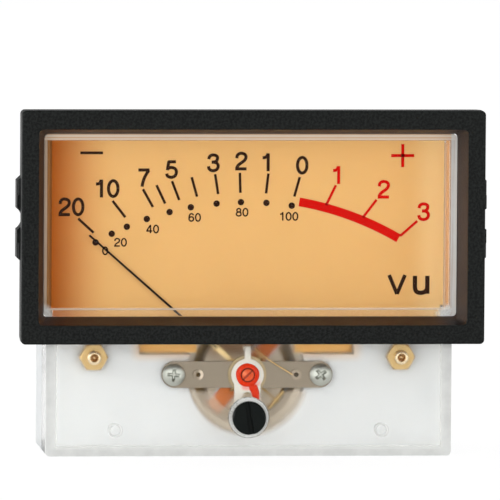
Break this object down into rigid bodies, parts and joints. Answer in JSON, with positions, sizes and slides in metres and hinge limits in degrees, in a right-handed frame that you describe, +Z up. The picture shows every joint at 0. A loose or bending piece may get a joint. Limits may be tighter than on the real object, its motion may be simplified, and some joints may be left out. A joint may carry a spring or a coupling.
{
  "type": "analog vu meter",
  "caption": "Panel level meter: black frame round a clear window, amber dial, moving-coil needle and slotted zero adjuster.",
  "frame": {"origin": "middle of the whole object's box at the height of the case's lower face, on which the meter can stand", "axes": "+X to the reader's right along the dial, +Y back into the panel, +Z up the dial"},
  "size_m": [0.0838, 0.0376, 0.0622],
  "materials": {
    "black_abs": "fine satin",
    "clear_acrylic": "polished",
    "milky_plastic": "translucent satin",
    "amber_acrylic": "translucent, printed",
    "bridge_metal": "satin",
    "zinc_steel": "zinc plated",
    "brass": "turned",
    "bronze": "turned",
    "spring_bronze": "drawn",
    "red_lacquer": "glossy",
    "magnet_alloy": "cast",
    "soft_iron": "yellow passivated",
    "needle_black": "matte black",
    "aluminium": "folded sheet",
    "copper_wire": "enamelled",
    "pivot_steel": "polished",
    "white_plastic": "moulded",
    "black_nylon": "moulded",
    "tinned_brass": "tinned",
    "lead_insulation": "extruded",
    "board_laminate": "laminate",
    "lamp_cap_metal": "drawn",
    "lamp_glass": "clear"
  },
  "bodies": {
    "case": {"bezel_frame": "black_abs", "front_cover": "clear_acrylic", "rear_case": "milky_plastic", "scale_plate": "amber_acrylic", "front_bridge": "bridge_metal", "bridge_screws": "zinc_steel", "boss_inserts": "brass", "front_jewel_screw": "bronze", "lever_washer": "brass", "lock_lacquer": "red_lacquer", "front_hairspring": "spring_bronze", "rear_hairspring": "spring_bronze", "core_magnet": "magnet_alloy", "core_posts": "brass", "yoke_ring": "soft_iron", "rear_plate": "brass", "rear_plate_screws": "zinc_steel", "rear_jewel_screw": "bronze", "pigtail": "spring_bronze", "terminal_studs": "brass", "stud_nuts_front": "brass", "stud_nuts_rear": "brass", "rear_washers": "zinc_steel", "solder_tags": "tinned_brass", "lead_tags": "tinned_brass", "lead_wires": "lead_insulation", "lamp_board": "board_laminate", "lamp_caps": "lamp_cap_metal", "lamp_bulbs": "lamp_glass", "lamp_pins": "tinned_brass"},
    "movement": {"pointer": "needle_black", "pointer_socket": "spring_bronze", "balance_arms": "brass", "balance_weights": "brass", "coil_former": "aluminium", "coil_winding": "copper_wire", "front_pivot": "pivot_steel", "rear_pivot": "pivot_steel"},
    "zero_lever": {"zero_lever": "white_plastic"},
    "zero_screw": {"zero_screw": "black_nylon"}
  },
  "joints": [
    {"name": "needle_turn", "type": "hinge", "parent": "case", "child": "movement", "pos_m": [0, 0, 0.0143], "axis": [0, 1, 0], "range_deg": [-1.5, 100], "stiffness_Nm_per_rad": 0.00002},
    {"name": "zero_screw_turn", "type": "hinge", "parent": "case", "child": "zero_screw", "pos_m": [0, 0, 0.0069], "axis": [0, 1, 0], "range_deg": [-60, 60]},
    {"name": "zero_lever_turn", "type": "hinge", "parent": "case", "child": "zero_lever", "pos_m": [0, 0, 0.0143], "axis": [0, 1, 0], "range_deg": [-8.2, 8.2]}
  ],
  "couplings": [
    {"joint": "zero_lever_turn", "follows": "zero_screw_turn", "ratio": -0.135}
  ]
}
